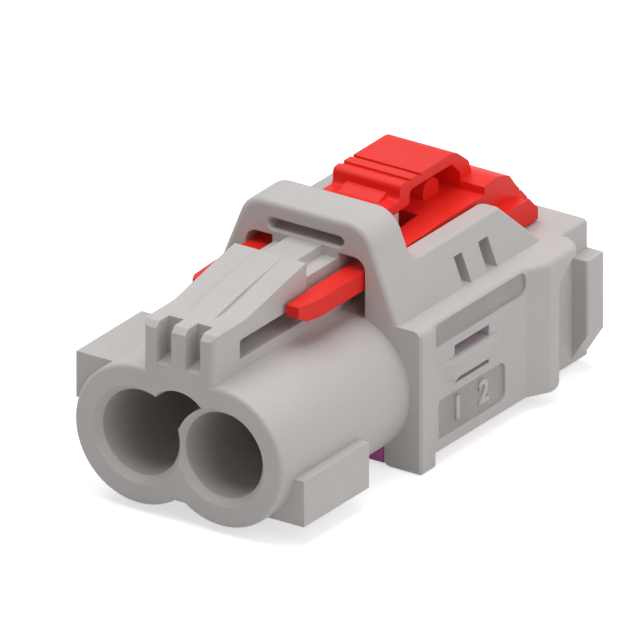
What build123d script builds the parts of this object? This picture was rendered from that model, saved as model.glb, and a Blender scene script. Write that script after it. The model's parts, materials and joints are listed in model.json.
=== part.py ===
"""Two-way coaxial cable jack: a moulded housing with twin barrels, a sprung latch, a slider that
locks the latch, a terminal lock pushed in from below and a contact set in each bore.

Millimetres. X runs across the two bores, +Y runs from the mating face to the cable end, +Z is
up. The origin is on the mating face, midway between the two bore axes.
"""
import os
from math import sqrt

from build123d import *

# Driving dimensions

PITCH = 6.6                # between the two bore axes
BARREL_R = 5.0             # outside of each barrel
BARREL_LENGTH = 15.0       # mating face to the hood
BARREL_EDGE = 0.35         # rounding of the barrels' front edge
VALLEY_Z = -4.1            # flat that fills the valley under the barrels
BORE_R = 3.05              # mating bore
BORE_DEPTH = 10.8
LEAD_R = 3.5               # lead-in at the mouth of each bore
LEAD_DEPTH = 0.55
LOBE_R = 2.57              # upper channel between the bores
LOBE_TOP = 3.96
LOBE_FLOOR = 1.0
LOBE_DEPTH = 7.0

KEY_START = 1.4            # coding keys beside the barrels
KEY_LENGTH = 7.7
KEY_HEIGHT = 3.3
KEY_REACH = 9.05           # from the middle to the key's outer side
LEFT_KEY_BOTTOM = 0.8
RIGHT_KEY_BOTTOM = -4.1

LATCH_HALF = 2.85          # half width of the latch's front block
LATCH_TOP = 8.5            # level top of the latch's front block
LATCH_BLOCK_DEPTH = 3.05
LATCH_BEND_Y = 3.75        # where the arm starts to rise
LATCH_BEND_R = 5.0
LATCH_CORNER_R = 0.5
RAIL_TOP = 5.85            # rail on the barrels that the latch stands on
GRIP_RIB_HALF = 0.56       # middle rib on the latch's front
GRIP_SLOT = 1.18
GRIP_SLOT_DEPTH = 1.5
GRIP_SLOT_FLOOR = 5.6
GRIP_SLOT_RISE = 0.25
GRIP_CHAMFER = 0.4
STRIP_HALF = 1.05          # raised strip along the latch arm
STRIP_START = 2.6
STRIP_MIDDLE = (6.2, 9.22)
STRIP_BEND_R = 9.0
ARM_BOTTOM = 7.25
ARM_CORNER_R = 0.2
ARM_MIDDLE = (8.3, 9.44)
ARM_MIDDLE_R = 10.0
ARM_PEAK_Y = 10.9          # steep back of the latch's nose
ARM_PEAK_TOP = 9.92
TAIL_HALF = 2.5            # latch behind its nose
TAIL_TOP = 8.6
TAIL_STRIP_HALF = 1.3
TAIL_STRIP_TOP = 9.27
TAIL_REAR_TOP = 9.2        # behind the hood's front plate
TAIL_END = 22.3

HOOD_TOP = 11.45
HOOD_DEPTH = 3.4
HOOD_CORNER_R = 2.0
HOOD_ROOF = 1.1
HOOD_EDGE_R = 0.45
SLOT_EDGE = 0.15
SIDE_FOOT_X = 9.35         # where the slanted upper wall would reach the axis plane
SIDE_SLOPE = 0.4           # how far it leans in for each millimetre up
SLOT_HALF = 2.97           # slot across the hood
SLOT_BOTTOM = 9.47
SLOT_TOP = 10.2
WINDOW_IN = 2.62           # hood windows beside the latch
WINDOW_OUT = 4.75
WINDOW_TOP = 9.05
WINDOW_CORNER_R = 0.9

FRAME_HALF = 9.25          # frame round the back of the barrels
FRAME_DEPTH = 1.65
FRAME_EDGE = 0.18
LEG_IN = 6.27
LEG_BOTTOM = -5.5
LEG_CHAMFER = 0.35
DECK_Z = 4.85              # ledge and deck that the slider runs on
LEFT_LEDGE_Z = 3.5         # the outer ledge is lower on the left side
LEDGE_R = 0.55
RIM_R = 0.42               # rounding along the ledges' outer edges
SIDE_HALF = 9.05
SIDE_BOTTOM = -4.55
SIDE_END = 30.24
UPPER_WALL_TOP = 8.04      # level top of the walls beside the slider
UPPER_WALL_FLAT_END = 28.75
UPPER_WALL_END = 31.85
UPPER_WALL_SWEEP_R = 1.0   # hollow corner between the hood and the wall
UPPER_EDGE_R = 0.25
LIP_R = 0.5                # rear corner of the lip over the slider's ears
UPPER_SLOTS = ((22.7, 23.65), (25.55, 26.7))
UPPER_SLOT_BOTTOM = 4.75
UPPER_SLOT_TOP = 6.85
UPPER_SLOT_FLOOR_X = 5.95
FLARE_START = 27.6
FLARE_LENGTH = 1.6
FLARE_HALF = 9.93
HORN_END = 33.5
HORN_PLAN_R = 1.8
HORN_UNDER = (31.7, 4.1)   # its underside rises to here, then runs level
HORN_END_Z = 4.3
HORN_START_Z = 2.8

UPPER_PLATE = (17.0, 27.6, 3.0, 4.6)         # recesses on the right side: Y, Y, Z, Z
LOWER_PLATE = (17.3, 25.16, -3.75, -0.95)
PLATE_DEPTH = 0.22
PLATE_R = 0.6
SIDE_WINDOW = (19.2, 23.25, 1.6, 2.38)
SIDE_SLIT = (19.2, 23.25, -0.36, 0.03)
SLIT_SLANT = 0.7           # the slit's front end slopes
BAR_PROUD = 0.38           # rolled bar between the window and the slit
BAR_OVERHANG = 0.5
BAR_EDGE_R = 0.36

BOX_HALF = 8.05            # rear box, level with the deck
BOX_BOTTOM = -5.1
BOX_START = 29.5
BOX_R = 0.3
WING_EDGE_R = 0.2
LENGTH = 36.45
WING_START = 34.5
WING_HALF = 9.33
WING_TOP = 2.74
WING_BOTTOM = -2.6
WING_FOOT = -4.6

CAVITY_R = 2.6             # contact cavity behind the mating bore
CAVITY_END = 26.5
SEAL_BORE_R = 3.05

CLEAR = 0.1                # between the housing and what slides in it
SEAT = 0.05                # between pieces that are pushed together

COVER_POCKET_DEPTH = 1.9   # rear cover
COVER_RECESS = 0.2
COVER_MARGIN = 0.65
COVER_EDGE = 0.25
COLLAR_LENGTH = 2.1
CABLE_HOLE_R = 1.75
LUG_HALF = 1.2
LUG_LENGTH = 0.8
LUG_REACH = 0.35
SEAL_LIPS = 2
SEAL_LIP_HEIGHT = 0.25
SEAL_HOLE_R = 1.45

LOCK_START = 18.5          # terminal lock
LOCK_PLATE = 1.8
LOCK_BASE_BOTTOM = -5.3
LOCK_BASE_END = 24.1
LOCK_PLATE_TOP = 1.3
LOCK_ARM_TOP = 2.65
LOCK_ARM = 0.7
LOCK_GAP_IN = 7.1
LOCK_GAP_OUT = 8.0
LOCK_SHOULDER_TOP = -3.9
LOCK_SHOULDER_IN = 4.9

FLANGE_R = 2.5             # contact set
NECK_R = 1.9
CRIMP_NECK_R = 1.35
CRIMP_NECK_START = 21.2
CONTACT_END = 25.6
SLEEVE_START = 11.2
SLEEVE_LENGTH = 6.0
SLEEVE_R = 2.4
SLEEVE_WALL = 0.25
SLEEVE_SLOTS = 6
SLEEVE_SLOT = 0.35
SLEEVE_SLOT_LENGTH = 4.0
SPIGOT_LENGTH = 1.2
INSULATOR_SETBACK = 1.5
INSULATOR_HEAD = 2.8
INSULATOR_STEM_R = 1.5
PIN_R = 0.45
PIN_SOCKET_R = 0.26
PIN_SETBACK = 0.3
PIN_SLOT = 0.14
PIN_SOCKET_DEPTH = 2.4
FERRULE_WALL = 0.3
CABLE_CORE_R = 0.8
CORE_STEP = 0.4            # the insulator stops just ahead of the crimp neck

SLIDER_HALF = 4.55         # position lock
SLIDER_BOTTOM = 6.8
SLIDER_LAP = 1.0           # how far prongs and runners run into the tray
SLIDER_LIFT = 0.15         # slider's feet above the deck
PRONG_IN = 3.1
PRONG_OUT = 4.6
PRONG_TOP = 8.12
PRONG_TIP_Y = 8.14
PRONG_TIP_TOP = 8.0
PRONG_TIP_BOTTOM = 7.2
PRONG_TIP_SLOPE = 0.7
PRONG_TIP_FLAT_Y = 10.9    # the tip's top falls away ahead of here
LEFT_PRONG_CHAMFER = (0.25, 0.55)            # off the tip's outer corner: X, Y
RIGHT_PRONG_CHAMFER = (0.5, 1.85)
TRAY_START = 19.6
TRAY_RAMP_START = 22.5
TRAY_RAMP_END = 24.6
TRAY_FLOOR = 8.3
TRAIL_CLEAR = 0.12         # between the slider and the latch's tail
HUMP_START = 29.4
HUMP_FRONT_TOP = 8.85
HUMP_CREST = (30.9, 9.05)
HUMP_SHOULDER = (32.35, 8.6)
HUMP_FOOT = (33.02, 7.75)
HUMP_CREST_R = 2.5
HUMP_CORNER_R = 0.5
GRIP_END = 35.6            # the sloped thumb grip behind the hump
GRIP_GROOVES = (33.64, 34.58)
GRIP_GROOVE_R = 0.14
EAR_HALF = 5.54
EAR_START = 29.7
EAR_TOP = 6.8
EAR_KNEE_Y = 33.06
EAR_END = 34.24
EAR_END_TOP = 5.86
RUNNER_IN = 3.5
SLIDE_TRAVEL = 2.0
ARCH_HALF = 2.67
ARCH_START = 22.22
ARCH_TOP = 11.2
ARCH_ROOF = 0.75
ARCH_FRONT_WALL = 1.14
ARCH_KNEE_Y = 28.75
ARCH_KNEE_R = 1.3
ARCH_HEEL = (30.3, 10.0)   # the arch's back turns down here
ARCH_HEEL_R = 0.6
ARCH_REAR_FOOT = (30.75, 8.9)
ARCH_INNER_KNEE_Y = 28.3
ARCH_INNER_FOOT = (29.3, 9.5)
ARCH_EDGE_R = 0.35
APRON_TOP = 10.07
APRON_UNDER = 9.41
APRON_START = 18.8
APRON_WEB_END = 19.9       # webs that join the apron to the prongs, under the hood
APRON_WEB_OUT = 3.5
ARCH_GROOVES = ((23.0, 23.5), (24.3, 24.65))
ARCH_GROOVE_DEPTH = 0.17
APRON_BLOCK_HALF = 1.6
APRON_BLOCK_RISE = 0.45
APRON_BLOCK_LENGTH = 1.0
POST_Y = 27.3
POST_Z = 8.65
POST_R = 0.95
POST_HALF = 1.7

SIDES = {"left": -1, "right": 1}


# Shapes

def block(x0, x1, y0, y1, z0, z1):
    """A box between its two corners."""
    return Pos((x0 + x1) / 2, (y0 + y1) / 2, (z0 + z1) / 2) * Box(x1 - x0, y1 - y0, z1 - z0)


def rod(radius, x, z, y0, y1):
    """A cylinder along Y."""
    return Pos(x, (y0 + y1) / 2, z) * Rot(90, 0, 0) * Cylinder(radius, y1 - y0)


def cone(front_r, rear_r, x, z, y0, y1):
    """A cone along Y."""
    return Pos(x, (y0 + y1) / 2, z) * Rot(90, 0, 0) * Cone(rear_r, front_r, y1 - y0)


def outline(*corners):
    """A face from corners (a, b), each rounded where it has a third number."""
    face = Polygon(*[corner[:2] for corner in corners], align=None)
    for corner in corners:
        if len(corner) == 3:
            vertex = face.vertices().sort_by_distance((corner[0], corner[1], 0))[0]
            face = fillet(vertex, corner[2])
    return face


def across(face, x0, x1):
    """A face drawn in Y and Z, run across from x0 to x1."""
    return Pos(x0, 0, 0) * extrude(Plane.YZ * face, x1 - x0, dir=(1, 0, 0))


def along(face, y0, y1):
    """A face drawn in X and Z, run along from y0 to y1."""
    return Pos(0, y0, 0) * extrude(Plane.XZ * face, y1 - y0, dir=(0, 1, 0))


def upright(face, z0, z1):
    """A face drawn in X and Y, run up from z0 to z1."""
    return Pos(0, 0, z0) * extrude(face, z1 - z0, dir=(0, 0, 1))


def both_sides(shape):
    """A shape and its mirror image across the middle plane."""
    return shape + mirror(shape, Plane.YZ)


def slanted_x(z):
    """Outside of the leaning upper wall at a height."""
    return SIDE_FOOT_X - SIDE_SLOPE * z


# Housing

def twin_barrels():
    """The two joined barrels with the flat in their lower valley."""
    face = Pos(-PITCH / 2, 0) * Circle(BARREL_R) + Pos(PITCH / 2, 0) * Circle(BARREL_R)
    flat_half = PITCH / 2 - sqrt(BARREL_R ** 2 - VALLEY_Z ** 2)
    face += outline((-flat_half, VALLEY_Z), (flat_half, VALLEY_Z), (flat_half, 0), (-flat_half, 0))
    solid = along(face, 0, BARREL_LENGTH)
    front = solid.faces().sort_by(Axis.Y)[0]
    return fillet(front.edges(), BARREL_EDGE)


def coding_keys():
    """One key on each side, at different heights so that the wrong mate is refused."""
    inner = PITCH / 2 + BORE_R / 2
    keys = []
    for side, bottom in ((-1, LEFT_KEY_BOTTOM), (1, RIGHT_KEY_BOTTOM)):
        x0, x1 = sorted((side * inner, side * KEY_REACH))
        keys.append(block(x0, x1, KEY_START, KEY_START + KEY_LENGTH, bottom, bottom + KEY_HEIGHT))
    return keys


def latch_arm():
    """The latch from its front block to the steep back of its nose, with the raised strip."""
    body = across(outline(
        (0, 0), (0, LATCH_TOP - GRIP_CHAMFER), (GRIP_CHAMFER, LATCH_TOP),
        (LATCH_BEND_Y, LATCH_TOP, LATCH_BEND_R), (*ARM_MIDDLE, ARM_MIDDLE_R),
        (ARM_PEAK_Y, ARM_PEAK_TOP), (ARM_PEAK_Y, ARM_BOTTOM),
        (LATCH_BLOCK_DEPTH, ARM_BOTTOM, ARM_CORNER_R), (LATCH_BLOCK_DEPTH, 0),
    ), -LATCH_HALF, LATCH_HALF)
    corners = body.edges().filter_by(Axis.Z).group_by(Axis.Y)[0]
    body = fillet(corners, LATCH_CORNER_R)
    strip = across(outline(
        (STRIP_START, ARM_BOTTOM + ARM_CORNER_R), (STRIP_START, LATCH_TOP), (*STRIP_MIDDLE, STRIP_BEND_R),
        (ARM_PEAK_Y, ARM_PEAK_TOP), (ARM_PEAK_Y, ARM_BOTTOM + ARM_CORNER_R),
    ), -STRIP_HALF, STRIP_HALF)
    return body + strip


def latch():
    """Front block with its grip ribs, the arm, the rail below it and the tail."""
    arm = latch_arm()
    slot = outline(
        (-1, GRIP_SLOT_FLOOR), (0, GRIP_SLOT_FLOOR), (GRIP_SLOT_DEPTH, GRIP_SLOT_FLOOR + GRIP_SLOT_RISE),
        (GRIP_SLOT_DEPTH, LATCH_TOP + 1), (-1, LATCH_TOP + 1),
    )
    arm -= both_sides(across(slot, GRIP_RIB_HALF, GRIP_RIB_HALF + GRIP_SLOT))
    rail = block(-LATCH_HALF, LATCH_HALF, LATCH_BLOCK_DEPTH / 2, BARREL_LENGTH, 0, RAIL_TOP)
    plate_end = BARREL_LENGTH + FRAME_DEPTH
    tail = block(-TAIL_HALF, TAIL_HALF, ARM_PEAK_Y, plate_end, ARM_BOTTOM, TAIL_TOP)
    tail_strip = block(-TAIL_STRIP_HALF, TAIL_STRIP_HALF, ARM_PEAK_Y, plate_end,
                       ARM_BOTTOM, TAIL_STRIP_TOP)
    tail_rear = block(-TAIL_HALF, TAIL_HALF, plate_end, TAIL_END, ARM_BOTTOM, TAIL_REAR_TOP)
    return [arm, rail, tail, tail_strip, tail_rear]


def hood_outline(inset, right_foot, left_foot):
    """Hood seen from the front, above its two ledges; the inset makes its inner surface."""
    lean = inset * sqrt(1 + SIDE_SLOPE ** 2)
    top = HOOD_TOP - inset
    corner_r = HOOD_CORNER_R - inset / 2
    return outline(
        (slanted_x(right_foot) - lean, right_foot),
        (slanted_x(top) - lean, top, corner_r),
        (-slanted_x(top) + lean, top, corner_r),
        (-slanted_x(left_foot) + lean, left_foot),
    )


def hood():
    """The hood round the latch's tail: a front plate with its windows and slot, and a roof."""
    y0 = BARREL_LENGTH
    feet = (DECK_Z - LEDGE_R, LEFT_LEDGE_Z - LEDGE_R)
    shell = along(hood_outline(0, *feet), y0, y0 + HOOD_DEPTH)
    foot_rim = shell.edges().group_by(Axis.Z)[0]
    front_rim = (shell.edges() - foot_rim).group_by(Axis.Y)[0]
    shell = fillet(front_rim, HOOD_EDGE_R)
    shell -= along(hood_outline(HOOD_ROOF, *feet), y0 + FRAME_DEPTH, y0 + HOOD_DEPTH + 1)
    window = outline((WINDOW_IN, DECK_Z), (WINDOW_OUT, DECK_Z),
                     (WINDOW_OUT, WINDOW_TOP, WINDOW_CORNER_R), (WINDOW_IN, WINDOW_TOP))
    slot_z = (SLOT_BOTTOM + SLOT_TOP) / 2
    slot = Pos(0, slot_z) * SlotOverall(2 * SLOT_HALF, SLOT_TOP - SLOT_BOTTOM)
    shell -= both_sides(along(window, y0 - 1, y0 + HOOD_DEPTH + 1))
    shell -= along(slot, y0 - 1, y0 + HOOD_DEPTH + 1)
    shell -= block(-TAIL_HALF, TAIL_HALF, y0, y0 + FRAME_DEPTH, DECK_Z, ARM_BOTTOM)
    front = shell.faces().sort_by(Axis.Y)[0]
    slot_rim = front.edges().filter_by(
        lambda edge: abs(edge.center().Z - slot_z) < SLOT_HALF / 2 and abs(edge.center().X) <= SLOT_HALF
        and edge.center().Z > WINDOW_TOP)
    return chamfer(slot_rim, SLOT_EDGE)


def frame_half(ledge):
    """One side of the frame behind the barrels, with its leg."""
    y0 = BARREL_LENGTH
    face = outline(
        (LEG_IN, SIDE_BOTTOM + 1), (LEG_IN, LEG_BOTTOM), (FRAME_HALF, LEG_BOTTOM, LEDGE_R / 2),
        (FRAME_HALF, ledge, LEDGE_R), (0, ledge), (0, SIDE_BOTTOM + 1),
    )
    half = along(face, y0, y0 + FRAME_DEPTH)
    inner_edge = half.edges().filter_by(Axis.Y).group_by(Axis.Z)[0].sort_by(Axis.X)[0]
    half = chamfer(inner_edge, LEG_CHAMFER)
    outer = half.edges().filter_by(lambda edge: edge.center().X > FRAME_HALF - LEDGE_R)
    return chamfer(outer.group_by(Axis.Y)[0], FRAME_EDGE)


def body_half(ledge):
    """One side wall with its flared shoulder, and half of the core that the cavities run through."""
    drop = DECK_Z - ledge
    above = DECK_Z + 1
    side_view = outline(
        (BARREL_LENGTH, SIDE_BOTTOM), (SIDE_END, SIDE_BOTTOM, LEDGE_R),
        (SIDE_END, HORN_START_Z - drop, LEDGE_R), (HORN_UNDER[0], HORN_UNDER[1] - drop, LEDGE_R),
        (HORN_END, HORN_END_Z - drop), (HORN_END, above), (BARREL_LENGTH, above),
    )
    plan = outline(
        (0, BARREL_LENGTH), (SIDE_HALF, BARREL_LENGTH), (SIDE_HALF, FLARE_START, LEDGE_R),
        (FLARE_HALF, FLARE_START + FLARE_LENGTH, LEDGE_R), (FLARE_HALF, HORN_END, HORN_PLAN_R),
        (0, HORN_END),
    )
    slab = upright(plan, SIDE_BOTTOM, ledge)
    ledge_rim = slab.edges().group_by(Axis.Z)[-1].filter_by(
        lambda edge: edge.center().X > LEG_IN or edge.center().Y > HORN_END - LEDGE_R / 2)
    slab = fillet(ledge_rim, RIM_R)
    return slab & across(side_view, 0, FLARE_HALF + 1)


def lower_body():
    """Both sides, and the deck that the slider runs on."""
    deck_half = EAR_HALF + CLEAR
    deck = block(-deck_half, 0, BARREL_LENGTH, HORN_END, 0, DECK_Z)
    return body_half(DECK_Z) + mirror(body_half(LEFT_LEDGE_Z), Plane.YZ) + deck


def front_frame():
    return frame_half(DECK_Z) + mirror(frame_half(LEFT_LEDGE_Z), Plane.YZ)


def upper_wall(ledge):
    """The leaning wall beside the slider, sloped down behind, with a lip over the slider's ears."""
    foot = ledge - LEDGE_R
    peak = UPPER_WALL_TOP + UPPER_WALL_SWEEP_R + CLEAR
    start = BARREL_LENGTH + FRAME_DEPTH
    hood_end = BARREL_LENGTH + HOOD_DEPTH
    run = (UPPER_WALL_END - UPPER_WALL_FLAT_END) / (UPPER_WALL_TOP - DECK_Z)
    end = UPPER_WALL_END + run * (DECK_Z - foot)
    groove = EAR_HALF + CLEAR
    lip_x = PRONG_OUT + CLEAR
    section = outline((slanted_x(foot), foot), (slanted_x(peak), peak), (lip_x, peak),
                      (lip_x, EAR_TOP + CLEAR), (groove, EAR_TOP + CLEAR), (groove, foot))
    side_view = outline(
        (start, foot), (end, foot), (UPPER_WALL_FLAT_END, UPPER_WALL_TOP),
        (hood_end, UPPER_WALL_TOP, UPPER_WALL_SWEEP_R), (hood_end, peak), (start, peak),
    )
    wall = along(section, start, end) & across(side_view, 0, SIDE_HALF)
    wall -= block(0, groove, UPPER_WALL_FLAT_END, end, 0, peak)
    corner = wall.edges().filter_by(Axis.Z).group_by(Axis.X)[0].sort_by(Axis.Y)[-1]
    wall = fillet(corner, LIP_R)
    outside = wall.faces().filter_by(lambda face: face.normal_at().X > 0.9).sort_by(Axis.X)[-1]
    rim = outside.edges().filter_by(lambda edge: edge.center().Z > DECK_Z + LEDGE_R
                                    and edge.center().Y > hood_end)
    wall = fillet(rim, UPPER_EDGE_R)
    for y0, y1 in UPPER_SLOTS:
        wall -= block(UPPER_SLOT_FLOOR_X, SIDE_HALF, y0, y1, UPPER_SLOT_BOTTOM, UPPER_SLOT_TOP)
    return wall


def upper_walls():
    return upper_wall(DECK_Z) + mirror(upper_wall(LEFT_LEDGE_Z), Plane.YZ)


def rear_box():
    """The box round the wire seals, with a wing on each side."""
    box = block(-BOX_HALF, BOX_HALF, BOX_START, LENGTH, BOX_BOTTOM, DECK_Z)
    box = fillet(box.edges().filter_by(Axis.Y), BOX_R)
    box = chamfer(box.faces().sort_by(Axis.Y)[-1].edges(), BOX_R / 2)
    wing = along(outline((0, WING_FOOT), (BOX_HALF, WING_FOOT), (WING_HALF, WING_BOTTOM),
                         (WING_HALF, WING_TOP), (0, WING_TOP)), WING_START, LENGTH)
    wing = fillet(wing.edges().filter_by(Axis.Z).group_by(Axis.X)[-1], WING_EDGE_R)
    return box + both_sides(wing)


def plate_recess(y0, y1, z0, z1):
    """A bare recess in the right side wall, with one sharp corner."""
    face = outline((y0, z0), (y1, z0, PLATE_R), (y1, z1, PLATE_R), (y0, z1, PLATE_R / 2))
    return across(face, SIDE_HALF - PLATE_DEPTH, FLARE_HALF)


def side_bar():
    """The rolled bar between a side window and the slit below it."""
    y0, y1, window_z = SIDE_WINDOW[:3]
    bar = block(SIDE_HALF - BAR_OVERHANG, SIDE_HALF + BAR_PROUD, y0 - BAR_OVERHANG, y1 + BAR_OVERHANG,
                SIDE_SLIT[3], window_z)
    return fillet(bar.faces().sort_by(Axis.X)[-1].edges(), BAR_EDGE_R)


def side_openings():
    """Plate recesses on the right, and on both sides a window on the terminal lock and a slit."""
    inner = LOCK_GAP_OUT - CLEAR
    y0, y1, z0, z1 = SIDE_WINDOW
    window = block(inner, FLARE_HALF, y0, y1, z0, z1)
    y0, y1, z0, z1 = SIDE_SLIT
    slit = across(outline((y0, z0), (y1, z0), (y1, z1), (y0 + SLIT_SLANT, z1)), inner, FLARE_HALF)
    return [both_sides(window + slit), plate_recess(*UPPER_PLATE), plate_recess(*LOWER_PLATE)]


def lock_space():
    """The space that the terminal lock goes into, open below."""
    floor = SIDE_BOTTOM - 2
    shoulder = block(LOCK_SHOULDER_IN - CLEAR, LEG_IN, BARREL_LENGTH, LOCK_START,
                     floor, LOCK_SHOULDER_TOP + CLEAR)
    gap = block(LOCK_GAP_IN, LOCK_GAP_OUT, LOCK_START - CLEAR, LOCK_BASE_END + CLEAR,
                floor, LOCK_ARM_TOP + CLEAR)
    cross = block(-LOCK_GAP_OUT, LOCK_GAP_OUT, LOCK_START - CLEAR, LOCK_START + LOCK_PLATE + CLEAR,
                  floor, LOCK_PLATE_TOP + CLEAR)
    return both_sides(shoulder + gap) + cross


def bores():
    """Mating bores with their lead-in, contact cavities, seal bores and the upper channel."""
    cuts = []
    for side in SIDES.values():
        x = side * PITCH / 2
        cuts.append(rod(BORE_R, x, 0, -1, BORE_DEPTH))
        cuts.append(cone(LEAD_R, BORE_R, x, 0, 0, LEAD_DEPTH))
        cuts.append(rod(CAVITY_R, x, 0, BORE_DEPTH, CAVITY_END))
        cuts.append(rod(SEAL_BORE_R, x, 0, CAVITY_END, LENGTH - COVER_POCKET_DEPTH))
    lobe = Pos(0, LOBE_TOP - LOBE_R) * Circle(LOBE_R) - Pos(PITCH / 2, 0) * Circle(LEAD_R)
    lobe &= outline((-LOBE_R, LOBE_FLOOR), (LOBE_R, LOBE_FLOOR), (LOBE_R, LOBE_TOP + 1),
                    (-LOBE_R, LOBE_TOP + 1))
    cuts.append(along(lobe, -1, LOBE_DEPTH))
    return cuts


def cover_half_width():
    return PITCH / 2 + SEAL_BORE_R + COVER_MARGIN


def cover_half_height():
    return SEAL_BORE_R + COVER_MARGIN


def cover_outline(gap):
    """Rear cover seen from behind, with a gap all round."""
    return SlotOverall(2 * (cover_half_width() - gap), 2 * (cover_half_height() - gap))


def cover_lug(side, gap):
    """Snap lug at one end of the rear cover, or the pocket that it clicks into."""
    y0 = LENGTH - COVER_POCKET_DEPTH + LUG_LENGTH / 2
    root = cover_half_width() - LUG_LENGTH
    x0, x1 = sorted((side * root, side * (cover_half_width() + LUG_REACH + gap)))
    return block(x0, x1, y0 - gap, y0 + LUG_LENGTH + gap, -LUG_HALF - gap, LUG_HALF + gap)


def housing():
    solid = twin_barrels()
    for piece in coding_keys() + latch():
        solid += piece
    solid += front_frame() + lower_body()
    solid += upper_walls()
    solid += hood()
    solid += rear_box()
    solid += both_sides(side_bar())
    for cut in bores() + side_openings():
        solid -= cut
    solid -= lock_space()
    solid -= along(cover_outline(0), LENGTH - COVER_POCKET_DEPTH, LENGTH + 1)
    for side in SIDES.values():
        solid -= cover_lug(side, SEAT)
    return solid


# Slider that locks the latch

def prong(chamfer_x, chamfer_y):
    """The right one of the two prongs that run out beside the latch."""
    end = TRAY_START + SLIDER_LAP
    side_view = outline(
        (PRONG_TIP_Y, PRONG_TIP_BOTTOM), (PRONG_TIP_Y, PRONG_TIP_TOP),
        (PRONG_TIP_FLAT_Y, PRONG_TOP), (end, PRONG_TOP), (end, SLIDER_BOTTOM),
        (PRONG_TIP_Y + PRONG_TIP_SLOPE, SLIDER_BOTTOM),
    )
    plan = outline(
        (PRONG_IN, PRONG_TIP_Y), (PRONG_OUT - chamfer_x, PRONG_TIP_Y),
        (PRONG_OUT, PRONG_TIP_Y + chamfer_y), (PRONG_OUT, end), (PRONG_IN, end),
    )
    return across(side_view, 0, PRONG_OUT) & upright(plan, 0, HOOD_TOP)


def slider_tray():
    """The tray with its slot for the latch's tail, the rear hump, the grip slope, ears and runners."""
    foot = DECK_Z + SLIDER_LIFT
    slope_end = foot + CLEAR
    tray = across(outline(
        (TRAY_START, SLIDER_BOTTOM), (TRAY_START, PRONG_TOP), (TRAY_RAMP_START, PRONG_TOP),
        (TRAY_RAMP_END, TRAY_FLOOR), (HUMP_START, TRAY_FLOOR), (HUMP_START, HUMP_FRONT_TOP),
        (*HUMP_CREST, HUMP_CREST_R), (*HUMP_SHOULDER, HUMP_CORNER_R), HUMP_FOOT,
        (GRIP_END, slope_end), (GRIP_END, foot), (EAR_START, foot), (EAR_START, SLIDER_BOTTOM),
    ), -SLIDER_HALF, SLIDER_HALF)
    for y in GRIP_GROOVES:
        fall = (HUMP_FOOT[1] - slope_end) / (GRIP_END - HUMP_FOOT[0])
        z = HUMP_FOOT[1] - (y - HUMP_FOOT[0]) * fall
        tray -= Pos(0, y, z) * Rot(0, 90, 0) * Cylinder(GRIP_GROOVE_R, 2 * EAR_HALF)
    slot_half = TAIL_HALF + TRAIL_CLEAR
    tray -= block(-slot_half, slot_half, 0, TAIL_END + SLIDE_TRAVEL + TRAIL_CLEAR, 0, APRON_UNDER)
    ears = across(outline(
        (EAR_START, foot), (EAR_START, EAR_TOP), (EAR_KNEE_Y, EAR_TOP), (EAR_END, EAR_END_TOP),
        (EAR_END, foot),
    ), -EAR_HALF, EAR_HALF)
    runner = block(RUNNER_IN, SLIDER_HALF, TRAY_START, EAR_START + SLIDER_LAP, foot,
                   SLIDER_BOTTOM + SLIDER_LAP)
    return [tray, ears, both_sides(runner)]


def slider_arch():
    """The thumb arch over the tray, with its grip grooves, and the post below it."""
    inner_top = ARCH_TOP - ARCH_ROOF
    front_end = ARCH_START + ARCH_FRONT_WALL
    arch = across(outline(
        (APRON_START, APRON_UNDER), (APRON_START, APRON_TOP), (ARCH_START, APRON_TOP, ARCH_EDGE_R),
        (ARCH_START, ARCH_TOP, ARCH_EDGE_R), (ARCH_KNEE_Y, ARCH_TOP, ARCH_KNEE_R),
        (*ARCH_HEEL, ARCH_HEEL_R), ARCH_REAR_FOOT, (ARCH_REAR_FOOT[0], TRAY_FLOOR), (HUMP_START, TRAY_FLOOR),
        ARCH_INNER_FOOT, (ARCH_INNER_KNEE_Y, inner_top), (front_end, inner_top, ARCH_EDGE_R),
        (front_end, APRON_UNDER, ARCH_EDGE_R),
    ), -ARCH_HALF, ARCH_HALF)
    for y0, y1 in ARCH_GROOVES:
        arch -= block(-ARCH_HALF, ARCH_HALF, y0, y1, ARCH_TOP - ARCH_GROOVE_DEPTH, ARCH_TOP + 1)
    post = Pos(0, POST_Y, POST_Z) * Rot(0, 90, 0) * Cylinder(POST_R, 2 * POST_HALF)
    return [arch, post]


def slider_apron():
    """The sloped block in front of the arch, and the webs that carry the apron on the prongs."""
    low = APRON_TOP - CLEAR
    rear = ARCH_START + CLEAR
    front = ARCH_START - APRON_BLOCK_LENGTH
    ramp = across(outline(
        (front, low), (front, APRON_TOP), (rear, APRON_TOP + APRON_BLOCK_RISE), (rear, low),
    ), -APRON_BLOCK_HALF, APRON_BLOCK_HALF)
    bridge = block(-APRON_WEB_OUT, APRON_WEB_OUT, APRON_START, APRON_WEB_END, APRON_UNDER, APRON_TOP)
    web = block(TAIL_HALF + TRAIL_CLEAR, APRON_WEB_OUT, APRON_START, APRON_WEB_END,
                SLIDER_BOTTOM, APRON_TOP)
    return [ramp, bridge, both_sides(web)]


def position_lock():
    solid = prong(*RIGHT_PRONG_CHAMFER) + mirror(prong(*LEFT_PRONG_CHAMFER), Plane.YZ)
    for piece in slider_tray() + slider_arch() + slider_apron():
        solid += piece
    return solid


# Terminal lock

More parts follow.
